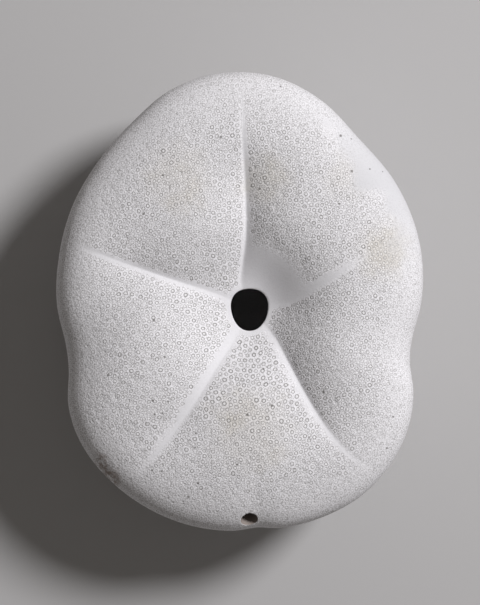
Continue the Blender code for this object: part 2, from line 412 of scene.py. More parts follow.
def face_point(walk, heading, sizes):
    """A point of the mouth face, from the mouth's edge at walk 0 to the rim at walk 1."""
    edge_start = rim_distance(heading) - EDGE_ROUNDING
    mouth = mouth_distance(heading, sizes)
    if walk < EDGE_START:
        return sheet_point(heading, mouth + (edge_start - mouth) * walk / EDGE_START, sizes)
    out, _ = rounded((walk - EDGE_START) / (1 - EDGE_START), EDGE_FULLNESS)
    return sheet_point(heading, edge_start + EDGE_ROUNDING * out, sizes)


def petal_relief(heading, share):
    """How far a petal stands out of the dome, at a share of the way from the crown to the rim."""
    start, end = PETAL_SPAN
    along = (share - start) / (end - start)
    if not 0 < along < 1:
        return 0.0
    turn = min((turn_between(heading, groove.headings[2]) for groove in GROOVES), key=abs)
    sideways = abs(share * rim_distance(heading) * math.sin(math.radians(turn)))
    half_width = PETAL_HALF_WIDTH * math.sin(math.pi * along**PETAL_OUTWARDNESS) ** PETAL_BLUNTNESS
    swell = PETAL_SWELL * math.sin(math.pi * along**SWELL_INWARDNESS)
    furrow = PORE_FURROW * math.sin(math.pi * along)
    furrow *= bell(sideways / half_width - FURROW_PLACE, FURROW_HALF_WIDTH)
    return swell * max(0.0, 1 - (sideways / half_width) ** 2) - furrow


def dome_point(walk, heading):
    """A point of the dome, from the rim at walk 1 to the crown at walk 2."""
    share, down = rounded(2 - walk, DOME_FULLNESS)
    height = CROWN_HEIGHT + DOME_DEPTH * (1 - down) - petal_relief(heading, share)
    return Vector((*east_north(heading, share * rim_distance(heading)), max(0.0, height)))


def shell_point(walk, heading, sizes):
    """A point of the outside."""
    if walk < 1:
        return face_point(max(0.0, walk), heading, sizes)
    return dome_point(min(2.0, walk), heading)


def hollow_point(walk, heading, sizes):
    """A point of the hollow, one wall thickness under the outside."""
    along = shell_point(walk + WALK_STEP, heading, sizes) - shell_point(walk - WALK_STEP, heading, sizes)
    around = shell_point(walk, heading + TURN_STEP, sizes) - shell_point(walk, heading - TURN_STEP, sizes)
    wall = sizes.wall + (sizes.rim_wall - sizes.wall) * bell(walk - 1, RIM_WALL_REACH)
    return shell_point(walk, heading, sizes) - wall * along.cross(around).normalized()


# Where the tubercles are


def tubercle_spacing(heading, distance, sizes):
    """Distance between tubercles on the mouth face: wide on the back lobe, close along the rim."""
    lobe = 1 - smooth_step(abs(turn_between(heading, BIG_TUBERCLE_LOBE)), *LOBE_EDGE)
    wide = LOBE_WIDENING * lobe * (1 - smooth_step(distance, *LOBE_FADE))
    narrow = RIM_NARROWING * (1 - smooth_step(rim_distance(heading) - distance, *RIM_BAND))
    return sizes.tubercle_spacing * (1 + wide - narrow)


def bare_floor(heading, distance):
    """1 on a groove's bare floor, 0 on the lobes."""
    bare = 0.0
    for groove in GROOVES:
        offset = groove_offset(groove, heading, distance)
        reach = groove.crease_reach
        narrowing = 1 - BARE_NARROWED * smooth_step(distance, reach - BARE_NARROWING, reach)
        side = (groove.counterclockwise if offset > 0 else groove.clockwise) * narrowing
        across = 1 - smooth_step(abs(offset), side - BARE_SOFTNESS[0], side + BARE_SOFTNESS[1])
        bare = max(bare, across * smooth_step(reach - distance, *BARE_FADE))
    return bare


def funnel_relief(heading, distance):
    """How much relief the funnel leaves: none between the right and the front groove."""
    past_right = smooth_step(groove_offset(GROOVES[0], heading, distance), *FUNNEL_SIDE)
    before_front = smooth_step(-groove_offset(GROOVES[1], heading, distance), *FUNNEL_SIDE)
    return 1 - past_right * before_front * (1 - smooth_step(distance, *FUNNEL_END))


def scar_relief(heading, distance):
    """How much relief the white scars leave."""
    east, north = east_north(heading, distance)
    left = 1.0
    for (x, y), (half_width, half_length) in SCARS:
        left *= 1 - SCAR_WEAR * bell(east - x, half_width) * bell(north - y, half_length)
    return left


def rim_polish(heading, inset):
    """1 where the right front of the rim is worn smooth, within a ragged edge, 0 elsewhere; the same mask
    lays painted shade on the rim's colour.
    """
    wander = sum(height * math.sin(math.radians(heading * count)) for height, count in WORN_RIM_WAVES)
    aside = turn_between(heading, WORN_RIM_HEADING)
    return (1 - smooth_step(inset + wander, *WORN_RIM_BAND)) * bell(aside, WORN_RIM_HALF_ANGLE)


def rim_relief(heading, inset):
    """How much relief is left near the rim: less all round, and least on the right front."""
    near_rim = 1 - smooth_step(inset, *RIM_BAND)
    return (1 - RIM_FADING * near_rim) * (1 - RIM_WEAR * rim_polish(heading, inset))


def tubercle_relief(heading, distance, sizes):
    """How strongly the tubercles stand out on the mouth face, from 0 to 1."""
    beside_mouth = smooth_step(distance - mouth_distance(heading, sizes), *MOUTH_BAND)
    relief = beside_mouth * funnel_relief(heading, distance)
    relief *= rim_relief(heading, rim_distance(heading) - distance)
    return relief * scar_relief(heading, distance) * (1 - bare_floor(heading, distance))


def crease_sites(sizes):
    """Rows of close points along each groove's line, so that its crease is drawn sharply."""
    sites = []
    for groove in GROOVES:
        distance = sizes.mouth_length / 2 + FACE_LOOP_OUT + CREASE_START
        while distance < min(groove.crease_reach, rim_distance(groove.headings[2]) - CREASE_MARGIN):
            for side in CREASE_ROWS:
                heading = groove_heading(groove, distance) + math.degrees(side / distance)
                sites.append(Vector(east_north(heading, distance)))
            distance += CREASE_STEP
    return sites


class SiteGrid:
    """Sites sorted into square cells, to find those near a place quickly."""

    def __init__(self, cell):
        self.cell = cell
        self.cells = {}

    def cell_of(self, site):
        return math.floor(site.x / self.cell), math.floor(site.y / self.cell)

    def add(self, site):
        self.cells.setdefault(self.cell_of(site), []).append(site)

    def is_clear(self, site, gap):
        """Whether no stored site is within the gap."""
        column, row = self.cell_of(site)
        reach = math.ceil(gap / self.cell)
        near = range(-reach, reach + 1)
        return not any(
            (other - site).length_squared < gap * gap
            for i in near for j in near for other in self.cells.get((column + i, row + j), ())
        )


def scattered_sites(fixed, sizes, dice):
    """Tubercle centres thrown at random onto the mouth face, none too near to another."""
    grid = SiteGrid(GRID_CELL)
    for site in fixed:
        grid.add(site)
    reach = max(radius for _, radius in OUTLINE)
    sites = []
    for _ in range(DARTS):
        site = Vector((dice.uniform(-reach, reach), dice.uniform(-reach, reach)))
        distance = site.length
        heading = math.degrees(math.atan2(site.y, site.x))
        if distance > rim_distance(heading) - SHEET_MARGIN - OUTER_MARGIN:
            continue
        if distance < mouth_distance(heading, sizes) + FACE_LOOP_OUT + INNER_MARGIN:
            continue
        if grid.is_clear(site, NEAREST_SHARE * tubercle_spacing(heading, distance, sizes)):
            grid.add(site)
            sites.append(site)
    return sites


def loop_edges(start, count):
    """Edges that close a run of points into a loop."""
    return [(start + i, start + (i + 1) % count) for i in range(count)]


def sheet_triangles(sites, loops):
    """Triangles between all sites, with the loops as fixed edges."""
    _, _, faces, _, _, _ = delaunay_2d_cdt(sites, loops, [], INSIDE_TRIANGLES, TINY)
    return faces


def relaxed_sites(fixed, loose, loops):
    """Moves the loose sites towards the middle of their neighbours, which evens out the gaps."""
    for _ in range(RELAX_ROUNDS):
        sites = fixed + loose
        sums = [Vector((0.0, 0.0)) for _ in sites]
        counts = [0] * len(sites)
        for face in sheet_triangles(sites, loops):
            for k in range(3):
                here, after = face[k], face[(k + 1) % 3]
                sums[here] += sites[after]
                counts[here] += 1
        first = len(fixed)
        for i, site in enumerate(loose):
            loose[i] = site.lerp(sums[first + i] / counts[first + i], RELAX_SHARE)
    return loose


# Rings of points, and the skin between them


def even_headings(count, dice, jitter):
    """Headings spread round the shell, each moved a little by chance."""
    step = 360.0 / count
    return [(i + jitter * dice.uniform(-1, 1)) * step for i in range(count)]


def join_rings(mesh, ring, following):
    """Triangles between two closed rings of (heading, vertex), which may differ in count."""
    ahead = ring + [(ring[0][0] + 360.0, ring[0][1])]
    beyond = following + [(following[0][0] + 360.0, following[0][1])]
    i = j = 0
    while i < len(ring) or j < len(following):
        here, there = ahead[i][1], beyond[j][1]
        if j == len(following) or (i < len(ring) and ahead[i + 1][0] < beyond[j + 1][0]):
            mesh.faces.new((here, there, ahead[i + 1][1]))
            i += 1
        else:
            mesh.faces.new((here, there, beyond[j + 1][1]))
            j += 1


def walk_at_edge_share(out):
    """The walk that reaches a share of the way over the rounded edge."""
    turn = math.asin(out ** (1 / EDGE_FULLNESS))
    share = math.acos(1 - turn / EIGHTH_TURN) / math.pi
    return EDGE_START + (1 - EDGE_START) * share


def walks_between(first, last, gap, sizes):
    """Walks after first and up to last, whose points lie about a gap apart on the outside."""
    probe = [first + (last - first) * k / PROBES for k in range(PROBES + 1)]
    points = [shell_point(walk, RING_PROBE_HEADING, sizes) for walk in probe]
    lengths = [0.0]
    for start, end in zip(points, points[1:]):
        lengths.append(lengths[-1] + (end - start).length)
    count = max(1, round(lengths[-1] / gap))
    walks = []
    for k in range(1, count + 1):
        target = lengths[-1] * k / count
        walks.append(probe[next(i for i in range(PROBES + 1) if lengths[i] >= target - TINY)])
    return walks


def ring_length(walk, sizes):
    """Length of one ring round the outside."""
    points = [shell_point(walk, heading, sizes) for heading in range(0, 360, RING_STEP)]
    return sum((after - before).length for before, after in zip(points, points[1:] + points[:1]))


def plan_move(sizes):
    """Sideways move that puts the middle of the plan box over the origin."""
    rim = [shell_point(1.0, 360.0 * k / RIM_PROBES, sizes) for k in range(RIM_PROBES)]
    xs = [point.x for point in rim]
    ys = [point.y for point in rim]
    return Vector((-(min(xs) + max(xs)) / 2, -(min(ys) + max(ys)) / 2, 0.0))


class ShellMesh:
    """The closed mesh of the shell as it is built. Its vertices store how strongly they bear a
    tubercle, whether its ring is sunken, and how far they are worn smooth, which also lays painted shade
    on the rim."""

    def __init__(self, sizes):
        self.sizes = sizes
        self.move = plan_move(sizes)
        self.dice = random.Random(SEED)
        self.mesh = bmesh.new()
        self.relief = self.mesh.verts.layers.float.new("relief")
        self.sunken = self.mesh.verts.layers.float.new("sunken")
        self.polish_and_painted_shade = self.mesh.verts.layers.float.new("polish_and_painted_shade")

    def vertex(self, point, relief=0.0, sunken=0.0, polish_and_painted_shade=0.0):
        """A new vertex at a point in millimetres."""
        vert = self.mesh.verts.new((point + self.move) * MM)
        vert[self.relief] = relief
        vert[self.sunken] = sunken
        vert[self.polish_and_painted_shade] = polish_and_painted_shade
        return vert

    def face_sheet(self):
        """The mouth face between two loops, with a vertex for every tubercle. Returns both loops."""
        sizes = self.sizes
        rim = ring_length(walk_at_edge_share(FACE_SHEET_SHARE), sizes)
        inner = even_headings(MOUTH_POINTS, self.dice, 0.0)
        outer = even_headings(round(rim / sizes.tubercle_spacing), self.dice, LOOP_JITTER)
        fixed = [Vector(east_north(turn, mouth_distance(turn, sizes) + FACE_LOOP_OUT)) for turn in inner]
        fixed += [Vector(east_north(turn, rim_distance(turn) - SHEET_MARGIN)) for turn in outer]
        loops = loop_edges(0, len(inner)) + loop_edges(len(inner), len(outer))
        fixed += crease_sites(sizes)
        sites = fixed + relaxed_sites(fixed, scattered_sites(fixed, sizes, self.dice), loops)
        verts = []
        for site in sites:
            heading = math.degrees(math.atan2(site.y, site.x)) % 360.0
            relief = tubercle_relief(heading, site.length, sizes)
            polish_and_painted_shade = rim_polish(heading, rim_distance(heading) - site.length)
            verts.append(self.vertex(sheet_point(heading, site.length, sizes), relief, 1.0, polish_and_painted_shade))
        for face in sheet_triangles(sites, loops):
            if max(face) >= len(inner):
                self.mesh.faces.new([verts[i] for i in face])
        return list(zip(inner, verts)), list(zip(outer, verts[len(inner):]))

    def crown(self, point, ring, relief=0.0):
        """Closes a ring with a fan of triangles round a point."""
        crown = self.vertex(point, relief)
        for (_, here), (_, after) in zip(ring, ring[1:] + ring[:1]):
            self.mesh.faces.new((here, crown, after))

    def outside_ring(self, walk):
        """One ring of vertices round the outside."""
        sizes = self.sizes
        spacing = sizes.tubercle_spacing if walk < 1 else DOME_SPACING
        count = max(FEWEST_ROUND, round(ring_length(walk, sizes) / spacing))
        sunken = 1.0 if walk < LAST_SUNKEN_WALK else 0.0
        inset = INSET_PER_WALK * max(0.0, walk - 1.0)
        ring = []
        for heading in even_headings(count, self.dice, RING_JITTER):
            beside_vent = bell(turn_between(heading, VENT_HEADING), VENT_BARE_ANGLE)
            relief = 1 - beside_vent * bell(walk - VENT_WALK, VENT_BARE_WALK)
            relief *= rim_relief(heading, inset)
            point = shell_point(walk, heading, sizes)
            ring.append((heading, self.vertex(point, relief, sunken, rim_polish(heading, inset))))
        return ring

    def outside_rings(self, first):
        """The rest of the outside, from the sheet's outer loop over the rim and the dome to the crown."""
        start = walk_at_edge_share(FACE_SHEET_SHARE)
        ring = first
        for walk in walks_between(start, 2.0, DOME_SPACING, self.sizes)[:-1]:
            following = self.outside_ring(walk)
            join_rings(self.mesh, ring, following)
            ring = following
        self.crown(shell_point(2.0, 0.0, self.sizes), ring, 1.0)

    def inside_ring(self, ring, count, place):
        """Joins a ring of the lip or the hollow to the one before it, and returns it."""
        headings = even_headings(count, self.dice, 0.0)
        following = [(heading, self.vertex(place(heading))) for heading in headings]
        join_rings(self.mesh, following, ring)
        return following

    def lip_point(self, heading, turn):
        """A point of the rounded lip, at a turn from the mouth face to the inside."""
        sizes = self.sizes
        mouth = mouth_distance(heading, sizes)
        edge = sheet_point(heading, mouth, sizes)
        outward = (sheet_point(heading, mouth + 1, sizes) - edge).normalized()
        inward = (hollow_point(0.0, heading, sizes) - edge).normalized()
        return edge + LIP_ROUNDING * (outward * (1 - math.sin(turn)) + inward * (1 - math.cos(turn)))

    def lip_and_hollow(self, first):
        """The rounded lip and the hollow, from the sheet's inner loop to the inner crown."""
        sizes = self.sizes
        ring = first
        for degrees in LIP_TURNS:
            turn = math.radians(degrees)
            ring = self.inside_ring(ring, MOUTH_POINTS, lambda heading: self.lip_point(heading, turn))
        for walk in [0.0] + walks_between(0.0, 2.0, HOLLOW_RING_GAP, sizes)[:-1]:
            ring = self.inside_ring(ring, HOLLOW_POINTS, lambda turn: hollow_point(walk, turn, sizes))
        self.crown(shell_point(2.0, 0.0, sizes) + Vector((0, 0, sizes.wall)), ring[::-1])

    def build(self):
        """Builds every part of the surface."""
        inner, outer = self.face_sheet()
        self.outside_rings(outer)
        self.lip_and_hollow(inner)
        return self.mesh


def sizes_in_mm(settings):
    """The panel's lengths in millimetres."""
    names = ("mouth_width", "mouth_length", "funnel_depth", "wall", "rim_wall", "tubercle_spacing")
    return SimpleNamespace(**{name: getattr(settings, name) / MM for name in names})


def add_object(name, mesh):
    """Puts a built mesh into the scene."""
    data = bpy.data.meshes.new(name)
    mesh.to_mesh(data)
    mesh.free()
    made = bpy.data.objects.new(name, data)
    bpy.context.scene.collection.objects.link(made)
    return made


def vent_cutter(move):
    """A round bar along the vent's axis, through the wall at the back."""
    back = rim_distance(VENT_HEADING) - VENT_INSET
    height = CROWN_HEIGHT + DOME_DEPTH + FACE_RISE * VENT_HEIGHT_SHARE
    middle = Vector((*east_north(VENT_HEADING, back), height)) + move
    place = Matrix.Translation(middle * MM)
    around = Matrix.Rotation(math.radians(VENT_HEADING), 4, "Z")
    tilt = Matrix.Rotation(math.radians(90.0 - VENT_RISE), 4, "Y")
    radius = VENT_DIAMETER / 2 * MM
    mesh = bmesh.new()
    bmesh.ops.create_cone(
        mesh, cap_ends=True, segments=VENT_SIDES, radius1=radius, radius2=radius,
        depth=VENT_LENGTH * MM, matrix=place @ around @ tilt,
    )
    inside = mesh.faces.layers.float.new("vent")
    for face in mesh.faces:
        face[inside] = 1.0
    return add_object("vent_cutter", mesh)


# Nodes


def add_sockets(tree, way, sockets):
    """Inputs or outputs of a node tree, given by name and kind."""
    for name, kind in sockets:
        tree.interface.new_socket(name, in_out=way, socket_type="NodeSocket" + kind)


class NodeSheet:
    """Short ways to add nodes to one tree."""

    def __init__(self, tree):
        self.tree = tree

    def add(self, kind, **settings):
        """A new node, with its settings."""
        node = self.tree.nodes.new(kind)
        for name, value in settings.items():
            setattr(node, name, value)
        return node

    def fill(self, socket, value):
        """Links an input to an output, or sets it to a value."""
        if isinstance(value, bpy.types.NodeSocket):
            self.tree.links.new(value, socket)
        else:
            socket.default_value = value

    def feed(self, node, **values):
        """Fills a node's inputs, given by name with _ for a space."""
        for name, value in values.items():
            self.fill(node.inputs[name.replace("_", " ")], value)
        return node

    def math(self, operation, first, second=0.0, kind="ShaderNodeMath"):
        """What an operation makes of two values. A distance comes out of the second output."""
        node = self.add(kind, operation=operation)
        self.fill(node.inputs[0], first)
        self.fill(node.inputs[1], second)
        return node.outputs[1 if operation == "DISTANCE" else 0]

    def vector(self, operation, first, second):
        """What an operation makes of two vectors."""
        return self.math(operation, first, second, "ShaderNodeVectorMath")

    def combined(self, operation, values):
        """What an operation makes of several values, taken one after another."""
        return reduce(lambda result, value: self.math(operation, result, value), values)

    def noise(self, place, scale, detail, roughness):
        """A cloudy value, mostly near one half."""
        node = self.add("ShaderNodeTexNoise")
        self.feed(node, Vector=place, Scale=scale, Detail=detail, Roughness=roughness)
        return node.outputs["Fac"]

    def span(self, value, low, high, to_low=0.0, to_high=1.0):
        """Maps a value from one range to another, smoothly and within it."""
        node = self.add("ShaderNodeMapRange", interpolation_type="SMOOTHSTEP")
        self.feed(node, Value=value, From_Min=low, From_Max=high, To_Min=to_low, To_Max=to_high)
        return node.outputs["Result"]

    def attribute(self, name):
        """A value that the mesh stores."""
        return self.add("ShaderNodeAttribute", attribute_name=name).outputs["Fac"]

    def mix(self, share, first, second):
        """A colour between two."""
        node = self.add("ShaderNodeMix", data_type="RGBA")
        self.fill(node.inputs["Factor"], share)
        self.fill(node.inputs[6], first)
        self.fill(node.inputs[7], second)
        return node.outputs[2]


# Tubercles


def stored(sheet, geometry, domain, name, value):
    """Stores a value under a name on the points or faces."""
    node = sheet.add("GeometryNodeStoreNamedAttribute", data_type="FLOAT", domain=domain)
    return sheet.feed(node, Geometry=geometry, Name=name, Value=value)


def extruded(sheet, geometry, selection, offset, scale, mark):
    """Extrudes each selected face by itself, shrinks it about its middle, and marks its points."""
    extrude = sheet.add("GeometryNodeExtrudeMesh", mode="FACES")
    sheet.feed(extrude, Mesh=geometry, Selection=selection, Offset_Scale=offset, Individual=True)
    top = extrude.outputs["Top"]
    shrink = sheet.add("GeometryNodeScaleElements")
    sheet.feed(shrink, Geometry=extrude.outputs["Mesh"], Selection=top, Scale=scale)
    marked = stored(sheet, shrink.outputs["Geometry"], "POINT", "bead", mark)
    sheet.feed(marked, Selection=top)
    return marked.outputs["Geometry"], top


def named_value(sheet, name):
    """A stored value, for the geometry's own use."""
    node = sheet.add("GeometryNodeInputNamedAttribute", data_type="FLOAT")
    return sheet.feed(node, Name=name).outputs["Attribute"]


def random_value(sheet, seed):
    """A chance value from 0 to 1 for each face."""
    node = sheet.feed(sheet.add("FunctionNodeRandomValue", data_type="FLOAT"), Seed=seed)
    return next(socket for socket in node.outputs if socket.enabled and socket.type == "VALUE")


def add_chain(tree, geometry, *kinds):
    """Nodes one after another on the geometry. Returns them."""
    nodes = []
    for kind in kinds:
        node = tree.nodes.new(kind)
        tree.links.new(geometry, node.inputs[0])
        geometry = node.outputs[0]
        nodes.append(node)
    return nodes


def tubercle_tree():
    """Turns every vertex into a cell, and cells with relief into sunken rings round raised bosses."""
    tree = bpy.data.node_groups.new("tubercles", "GeometryNodeTree")
    add_sockets(tree, "INPUT", (
        ("Shell", "Geometry"), ("Ring depth", "Float"), ("Ring radius", "Float"),
        ("Boss height", "Float"), ("Unevenness", "Float"), ("Seed", "Int"), ("Material", "Material"),
    ))
    add_sockets(tree, "OUTPUT", (("Shell", "Geometry"),))
    sheet = NodeSheet(tree)
    given = sheet.add("NodeGroupInput").outputs
    dual = sheet.add("GeometryNodeDualMesh")
    sheet.feed(dual, Mesh=given["Shell"])
    relief = named_value(sheet, "relief")
    on_face = sheet.math("GREATER_THAN", named_value(sheet, "sunken"), 0.5)
    is_raised = sheet.math("GREATER_THAN", relief, RELIEF_FLOOR)
    is_sunken = sheet.math("MULTIPLY", is_raised, on_face)
    is_plain = sheet.math("SUBTRACT", is_raised, is_sunken)
    chance = random_value(sheet, given["Seed"])
    uneven = sheet.math("MULTIPLY", chance, given["Unevenness"])
    size = sheet.math("MULTIPLY", relief, sheet.math("SUBTRACT", 1.0, uneven))
    sized = stored(sheet, dual.outputs["Dual Mesh"], "FACE", "size", size)
    clean = stored(sheet, sized.outputs["Geometry"], "POINT", "bead", 0.0)
    stored_size = named_value(sheet, "size")
    depth = sheet.math("MULTIPLY", stored_size, given["Ring depth"])
    down = sheet.math("MULTIPLY", depth, -1.0)
    cell_area = sheet.add("GeometryNodeInputMeshFaceArea").outputs["Area"]
    cell_radius = sheet.math("SQRT", sheet.math("DIVIDE", cell_area, math.pi))
    share = sheet.math("DIVIDE", given["Ring radius"], cell_radius)
    share = sheet.math("MINIMUM", share, WIDEST_RING)
    sunk, top = extruded(sheet, clean.outputs["Geometry"], is_sunken, down, share, RING_MARK)
    boss = sheet.math("MULTIPLY", stored_size, given["Boss height"])
    climb = sheet.math("ADD", sheet.math("MULTIPLY", depth, on_face), boss)
    chosen = sheet.math("MAXIMUM", top, is_plain)
    raised, _ = extruded(sheet, sunk, chosen, climb, 0.0, 1.0)
    merge, smooth, _, _, paint = add_chain(
        tree, raised, "GeometryNodeMergeByDistance", "GeometryNodeSetShadeSmooth",
        "GeometryNodeTriangulate", "GeometryNodeRealizeInstances", "GeometryNodeSetMaterial",
    )
    merge.inputs["Distance"].default_value = MERGE_DISTANCE
    smooth.inputs["Shade Smooth"].default_value = True
    tree.links.new(given["Material"], paint.inputs["Material"])
    result = tree.nodes.new("NodeGroupOutput")
    tree.links.new(paint.outputs["Geometry"], result.inputs["Shell"])
    return tree


def give_tubercles(shell, settings, material):
    """Adds the tubercles as a modifier, with its inputs set."""
    tree = tubercle_tree()
    modifier = shell.modifiers.new("tubercles", "NODES")
    modifier.node_group = tree
    values = {
        "Ring depth": settings.ring_depth,
        "Ring radius": settings.ring_radius,
        "Boss height": settings.boss_height,
        "Unevenness": settings.unevenness,
        "Seed": SEED,
        "Material": material,
    }
    for item in tree.interface.items_tree:
        if item.in_out == "INPUT" and item.name in values:
            modifier[item.identifier] = values[item.name]


def cut_vent(shell, move):
    """Adds the vent as a modifier, and returns its cutter."""
    cutter = vent_cutter(move)
    modifier = shell.modifiers.new("vent", "BOOLEAN")
    modifier.operation = "DIFFERENCE"
    modifier.solver = "EXACT"
    modifier.object = cutter
    return cutter


def made_plain(shell):
    """Turns what the modifiers make into the object's own mesh."""
    bpy.context.view_layer.update()
    graph = bpy.context.evaluated_depsgraph_get()
    data = bpy.data.meshes.new_from_object(shell.evaluated_get(graph))
    shell.modifiers.clear()
    shell.data = data
    data.name = shell.name
    return data


def require(condition, complaint):
    """Stops the script with a plain message."""
    if not condition:
        raise RuntimeError(complaint)


# Materials


def opaque(colour):
    """A colour with its fourth number, for a socket."""
    return tuple(colour) + (1.0,)


def matt_material(name, roughness, specular):
    """A new material and its shader."""
    material = bpy.data.materials.new(name)
    material.use_nodes = True
    surface = material.node_tree.nodes["Principled BSDF"]
    surface.inputs["Roughness"].default_value = roughness
    surface.inputs["Specular IOR Level"].default_value = specular
    return material, surface


def blot_group():
    """A soft, ragged blot: 1 in its middle, 0 outside its radius."""
    tree = bpy.data.node_groups.new("ragged_blot", "ShaderNodeTree")
    add_sockets(tree, "INPUT", (
        ("Place", "Vector"), ("Middle", "Vector"), ("Radius", "Float"), ("Ragged", "Float"),
    ))
    add_sockets(tree, "OUTPUT", (("Mask", "Float"),))
    sheet = NodeSheet(tree)
    given = sheet.add("NodeGroupInput").outputs
    place = given["Place"]
    away = sheet.vector("DISTANCE", place, given["Middle"])
    wander = sheet.math("SUBTRACT", sheet.noise(place, *BLOT_NOISE), 0.5)
    wander = sheet.math("MULTIPLY", wander, given["Ragged"])
    share = sheet.math("DIVIDE", away, given["Radius"])
    mask = sheet.span(sheet.math("ADD", share, wander), *BLOT_EDGE)
    sheet.feed(sheet.add("NodeGroupOutput"), Mask=mask)
    return tree


def blot_middle(place):
    """A blot's middle in metres, from its place in millimetres."""
    return (place[0] * MM, place[1] * MM, BLOT_HEIGHT)


def blot(sheet, group, place, middle, radius, ragged):
    """One ragged blot on the shell."""
    node = sheet.add("ShaderNodeGroup", node_tree=group)
    sheet.feed(node, Place=place, Middle=blot_middle(middle), Radius=radius * MM, Ragged=ragged)
    return node.outputs["Mask"]


def speck(sheet, place, middle, radius):
    """One small round speck on the shell."""
    away = sheet.vector("DISTANCE", place, blot_middle(middle))
    return sheet.span(away, radius * MM, SPECK_CORE * radius * MM)


def tubercle_masks(sheet):
    """Where the painted shade of the sunken rings and the painted highlight on the raised bosses go."""
    bead = sheet.attribute("bead")
    size = sheet.attribute("size")
    # The ring mask lays painted shade in each sunken ring.
    from_ring = sheet.math("ABSOLUTE", sheet.math("SUBTRACT", bead, RING_PLACE))
    ring = sheet.combined("MULTIPLY", (sheet.span(from_ring, *RING_SHADE_EDGE), size, RING_SHADE))
    # The boss mask lays a painted highlight on each boss.
    boss = sheet.math("MULTIPLY", sheet.span(bead, *BOSS_HIGHLIGHT_BAND), size)
    return ring, boss


def patch_masks(sheet, place):
    """Where the warm tints, the brown stain and the dark specks are, on the mouth face only."""
    group = blot_group()
    plan = sheet.vector("MULTIPLY", place, (1.0, 1.0, 0.0))
    plan = sheet.vector("ADD", plan, (0.0, 0.0, BLOT_HEIGHT))
    height = sheet.feed(sheet.add("ShaderNodeSeparateXYZ"), Vector=place).outputs["Z"]
    on_top = sheet.span(height, *PATCH_FADE)
    tints = sheet.combined("MAXIMUM", [blot(sheet, group, plan, *spot) for spot in TINTED])
    stains = sheet.combined("MAXIMUM", [blot(sheet, group, plan, *spot) for spot in STAINED])
    specks = sheet.combined("MAXIMUM", [speck(sheet, plan, *spot) for spot in SPECKS])
    worn = sheet.span(sheet.noise(place, *TINT_NOISE), *TINT_SPAN)
    soaked = sheet.span(sheet.noise(place, *STAIN_NOISE), *STAIN_SPAN)
    return (
        sheet.combined("MULTIPLY", (tints, worn, on_top)),
        sheet.combined("MULTIPLY", (stains, soaked, on_top)),
        sheet.combined("MULTIPLY", (specks, on_top, SPECK_SHADE)),
    )


def shell_colour(sheet, colours, place, bears, grain):
    """The shell's colour: calcite, bare or bearing tubercles, with the other colours laid over it, among
    them painted shade in the sunken rings, a painted highlight on the bosses and painted shade on the worn
    rim.
    """
    ring, boss = tubercle_masks(sheet)
    tint, stain, specks = patch_masks(sheet, place)
    speckle = sheet.span(grain, *SPECKLE_SPAN)
    speckle = sheet.math("MULTIPLY", speckle, sheet.span(bears, *SPECKLE_SHARE))
    coats = (
        (tint, colours.tint),
        # Painted shade in the sunken rings
        (ring, colours.ring),
        # Painted highlight on the bosses
        (boss, colours.boss),
        # Worn smooth rim, its colour darkened as painted shade where the key light falls most
        (sheet.attribute("polish_and_painted_shade"), colours.polish_and_painted_shade),
        (stain, colours.stain),
        (sheet.attribute("vent"), colours.vent),
        (specks, colours.speck),
        (speckle, SPECKLE_COLOUR),
    )
    calcite = sheet.span(bears, *CALCITE_SPAN)
    colour = sheet.mix(calcite, opaque(colours.bare), opaque(colours.calcite))
    for share, coat in coats:
        colour = sheet.mix(share, colour, opaque(coat))
    return colour


def bleached_calcite(colours):
    """The shell's material: matt calcite, coarsely grained where it bears tubercles."""
    material, surface = matt_material("bleached_calcite", SHELL_ROUGHNESS, SHELL_SPECULAR)
    sheet = NodeSheet(material.node_tree)
    place = sheet.add("ShaderNodeTexCoord").outputs["Object"]
    grain = sheet.noise(place, *GRAIN_NOISE)
    bears = sheet.attribute("relief")
    granules = sheet.add("ShaderNodeTexVoronoi", feature="SMOOTH_F1")
    sheet.feed(granules, Vector=place, Scale=GRANULES_PER_METRE, Smoothness=GRANULE_SMOOTHNESS)
    height = sheet.math("SUBTRACT", grain, granules.outputs["Distance"])
    bump = sheet.add("ShaderNodeBump")
    sheet.feed(bump, Strength=sheet.span(bears, *BUMP_STRENGTH), Distance=BUMP_DISTANCE, Height=height)
    colour = shell_colour(sheet, colours, place, bears, grain)
    sheet.feed(surface, Base_Color=colour, Normal=bump.outputs["Normal"])
    return material


def pale_floor(colour):
    """The floor's plain matt material."""
    material, surface = matt_material("pale_floor", FLOOR_ROUGHNESS, FLOOR_SPECULAR)
    surface.inputs["Base Color"].default_value = opaque(colour)
    return material


# What a user can change


def length_property(name, description, default, low, high, precision=5):
    """A length in metres that a user can change."""
    return bpy.props.FloatProperty(
        name=name, description=description, default=default, min=low, max=high,
        precision=precision, unit="LENGTH",
    )


def colour_property(name, description, default):
    """A colour that a user can change."""
    return bpy.props.FloatVectorProperty(
        name=name, description=description, default=default, size=3, min=0.0, max=1.0, subtype="COLOR",
    )


